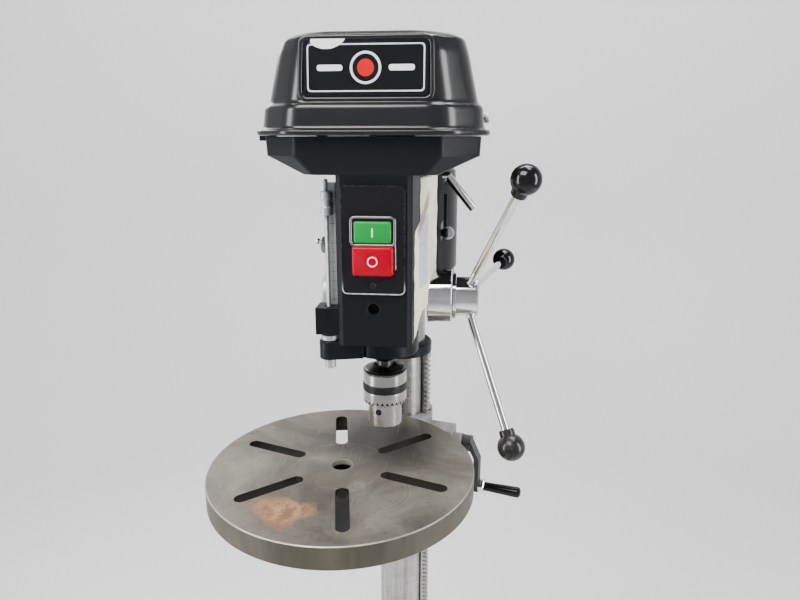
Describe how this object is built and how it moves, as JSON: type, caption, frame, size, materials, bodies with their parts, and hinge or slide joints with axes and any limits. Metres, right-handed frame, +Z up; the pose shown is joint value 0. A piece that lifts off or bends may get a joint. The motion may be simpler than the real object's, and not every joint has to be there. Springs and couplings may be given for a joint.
{
  "type": "drill press",
  "caption": "Floor-standing drill press: belt-driven head with hinged case, quill feed with ball-knob handles, keyed chuck, and a round slotted table cranked up a rack on the column.",
  "frame": {"origin": "on the floor, at the centre of the base's four bolt holes", "axes": "+Z up, -Y towards the operator, +X to the operator's right, the side of the feed handles"},
  "size_m": [0.4229, 0.6399, 1.642],
  "materials": {
    "cast_black": "gloss black enamel on cast iron",
    "sheet_black": "satin-gloss black enamel on pressed steel",
    "cast_grey": "silver-grey enamel on cast iron",
    "machined_iron": "turned, dull, light rust",
    "column_steel": "ground",
    "steel": "machined",
    "chrome": "polished",
    "zinc": "zinc plated",
    "knob": "gloss phenolic",
    "panel": "semi-gloss",
    "start": "gloss",
    "stop": "gloss",
    "aluminium": "turned die casting",
    "belt": "cloth-faced rubber",
    "motor": "black enamel on rolled steel",
    "spring_steel": "blued",
    "lamp_glass": "frosted",
    "matte_black": "moulded"
  },
  "bodies": {
    "stand": {"base": "cast_grey", "column_flange": "cast_grey", "flange_bolts": "zinc", "column": "column_steel", "rack_ring": "cast_black", "head_casting": "cast_black", "power_gland": "matte_black", "switch_panel": "panel", "switch_block": "matte_black", "lamp_socket": "matte_black", "lamp_bulb": "lamp_glass", "feed_barrel": "chrome", "spring_cap": "zinc", "return_spring": "spring_steel", "scale_bar": "zinc", "belt_tray": "sheet_black", "pulley_bearings": "steel", "idler_post": "steel", "spindle_belt": "belt", "motor_belt": "belt"},
    "lid": {"lid": "sheet_black"},
    "start_button": {"start_button": "start"},
    "stop_button": {"stop_button": "stop"},
    "lamp_toggle": {"lamp_toggle": "chrome"},
    "quill": {"quill": "steel", "quill_bearings": "steel", "depth_yoke": "cast_black", "depth_rod": "zinc", "rod_nut": "zinc"},
    "depth_nuts": {"depth_nuts": "zinc"},
    "spindle": {"spindle": "steel", "chuck_body": "chrome"},
    "chuck_sleeve": {"chuck_sleeve": "chrome"},
    "jaw_1": {"jaw_1": "steel"},
    "jaw_2": {"jaw_2": "steel"},
    "jaw_3": {"jaw_3": "steel"},
    "feed": {"pinion_shaft": "steel", "feed_hub": "chrome", "feed_rods": "chrome", "feed_knobs": "knob"},
    "spindle_pulley": {"spindle_pulley": "aluminium"},
    "idler_pulley": {"idler_pulley": "aluminium"},
    "motor": {"motor_housing": "motor", "motor_bracket": "cast_black", "slide_bars": "steel"},
    "rotor": {"motor_rotor": "steel", "motor_pulley": "aluminium"},
    "tension_lever": {"tension_lever": "chrome"},
    "slide_lock": {"slide_lock": "zinc"},
    "rack": {"rack": "column_steel"},
    "bracket": {"table_bracket": "cast_grey", "tilt_bolt": "zinc"},
    "lift_gear": {"lift_gear": "steel"},
    "crank": {"crank_shaft": "steel", "crank_arm": "cast_black"},
    "crank_grip": {"crank_grip": "knob"},
    "column_lock": {"column_lock": "zinc"},
    "arm": {"table_arm": "cast_grey"},
    "table_lock": {"table_lock": "zinc"},
    "table": {"table": "machined_iron"}
  },
  "joints": [
    {"name": "lid_hinge", "type": "hinge", "parent": "stand", "child": "lid", "pos_m": [-0.1396, 0.13, 1.5415], "axis": [0, -1, 0], "range_deg": [0, 100]},
    {"name": "start_press", "type": "slide", "parent": "stand", "child": "start_button", "axis": [0, 1, 0], "range_m": [0, 0.0035], "stiffness_N_per_m": 500, "springref_m": -0.002},
    {"name": "stop_press", "type": "slide", "parent": "stand", "child": "stop_button", "axis": [0, 1, 0], "range_m": [0, 0.0035], "stiffness_N_per_m": 500, "springref_m": -0.002},
    {"name": "lamp_switch", "type": "hinge", "parent": "stand", "child": "lamp_toggle", "pos_m": [-0.057, -0.091, 1.414], "axis": [0, -1, 0], "range_deg": [0, 21.5]},
    {"name": "quill_feed", "type": "slide", "parent": "stand", "child": "quill", "axis": [0, 0, -1], "range_m": [0, 0.055], "stiffness_N_per_m": 220, "springref_m": -0.42},
    {"name": "feed_turn", "type": "hinge", "parent": "stand", "child": "feed", "pos_m": [0, -0.057, 1.347], "axis": [1, 0, 0], "range_deg": [-2, 265]},
    {"name": "depth_nut_travel", "type": "slide", "parent": "quill", "child": "depth_nuts", "axis": [0, 0, -1], "range_m": [0, 0.045]},
    {"name": "spindle_turn", "type": "hinge", "parent": "quill", "child": "spindle", "pos_m": [0, -0.097, 1.3], "axis": [0, 0, 1], "continuous": true},
    {"name": "chuck_turn", "type": "hinge", "parent": "spindle", "child": "chuck_sleeve", "pos_m": [0, -0.097, 1.24], "axis": [0, 0, 1], "range_deg": [0, 3240]},
    {"name": "spindle_pulley_turn", "type": "hinge", "parent": "stand", "child": "spindle_pulley", "pos_m": [0, -0.097, 1.5], "axis": [0, 0, 1], "continuous": true},
    {"name": "idler_turn", "type": "hinge", "parent": "stand", "child": "idler_pulley", "pos_m": [0, 0.08, 1.56], "axis": [0, 0, 1], "continuous": true},
    {"name": "motor_slide", "type": "slide", "parent": "stand", "child": "motor", "axis": [0, -1, 0], "range_m": [0, 0.01]},
    {"name": "motor_turn", "type": "hinge", "parent": "motor", "child": "rotor", "pos_m": [0, 0.28, 1.4], "axis": [0, 0, 1], "continuous": true},
    {"name": "tension_turn", "type": "hinge", "parent": "stand", "child": "tension_lever", "pos_m": [0.049, 0.03, 1.488], "axis": [-1, 0, 0], "range_deg": [-1, 31]},
    {"name": "slide_lock_turn", "type": "hinge", "parent": "stand", "child": "slide_lock", "pos_m": [0.059, 0.02, 1.414], "axis": [1, 0, 0], "range_deg": [0, 90]},
    {"name": "table_swing", "type": "hinge", "parent": "stand", "child": "rack", "pos_m": [0, 0.13, 0.7], "axis": [0, 0, 1], "range_deg": [-165, 195]},
    {"name": "table_lift", "type": "slide", "parent": "rack", "child": "bracket", "axis": [0, 0, 1], "range_m": [-0.855, 0]},
    {"name": "lift_gear_turn", "type": "hinge", "parent": "bracket", "child": "lift_gear", "pos_m": [0.05946, 0.11429, 1.0405], "axis": [0.2554, 0.9668, 0], "range_deg": [-10, 2810]},
    {"name": "crank_turn", "type": "hinge", "parent": "bracket", "child": "crank", "pos_m": [0.08701, 0.10701, 1.066], "axis": [0.9668, -0.2554, 0], "range_deg": [-39400, 39400]},
    {"name": "grip_turn", "type": "hinge", "parent": "crank", "child": "crank_grip", "pos_m": [0.14502, 0.09168, 0.995], "axis": [0.9668, -0.2554, 0], "continuous": true},
    {"name": "column_lock_turn", "type": "hinge", "parent": "bracket", "child": "column_lock", "pos_m": [-0.00248, 0.19892, 1.058], "axis": [0.9668, -0.2554, 0], "range_deg": [0, 50]},
    {"name": "table_tilt", "type": "hinge", "parent": "bracket", "child": "arm", "pos_m": [-0.01916, 0.05749, 1.058], "axis": [0.2554, 0.9668, 0], "range_deg": [-5, 45]},
    {"name": "table_lock_turn", "type": "hinge", "parent": "arm", "child": "table_lock", "pos_m": [-0.09666, -0.07925, 1.06], "axis": [0.9668, -0.2554, 0], "range_deg": [-30, 30]},
    {"name": "table_turn", "type": "hinge", "parent": "arm", "child": "table", "pos_m": [-0.05799, -0.08947, 1.06], "axis": [0, 0, 1], "continuous": true},
    {"name": "jaw_1_slide", "type": "slide", "parent": "spindle", "child": "jaw_1", "axis": [-0.1798, 0.1862, -0.9659], "range_m": [-0.0005, 0.0245]},
    {"name": "jaw_2_slide", "type": "slide", "parent": "spindle", "child": "jaw_2", "axis": [-0.0713, -0.2488, -0.9659], "range_m": [-0.0005, 0.0245]},
    {"name": "jaw_3_slide", "type": "slide", "parent": "spindle", "child": "jaw_3", "axis": [0.2511, 0.0626, -0.9659], "range_m": [-0.0005, 0.0245]}
  ],
  "couplings": [
    {"joint": "feed_turn", "follows": "quill_feed", "rad_per_m": 83.333},
    {"joint": "spindle_turn", "follows": "motor_turn", "ratio": 0.17906},
    {"joint": "spindle_pulley_turn", "follows": "motor_turn", "ratio": 0.17906},
    {"joint": "idler_turn", "follows": "motor_turn", "ratio": 0.39394},
    {"joint": "tension_turn", "follows": "motor_slide", "rad_per_m": 52.36},
    {"joint": "lift_gear_turn", "follows": "table_lift", "rad_per_m": -57.143},
    {"joint": "crank_turn", "follows": "table_lift", "rad_per_m": 800},
    {"joint": "jaw_1_slide", "follows": "chuck_turn", "m_per_rad": 0.00042441},
    {"joint": "jaw_2_slide", "follows": "chuck_turn", "m_per_rad": 0.00042441},
    {"joint": "jaw_3_slide", "follows": "chuck_turn", "m_per_rad": 0.00042441}
  ]
}
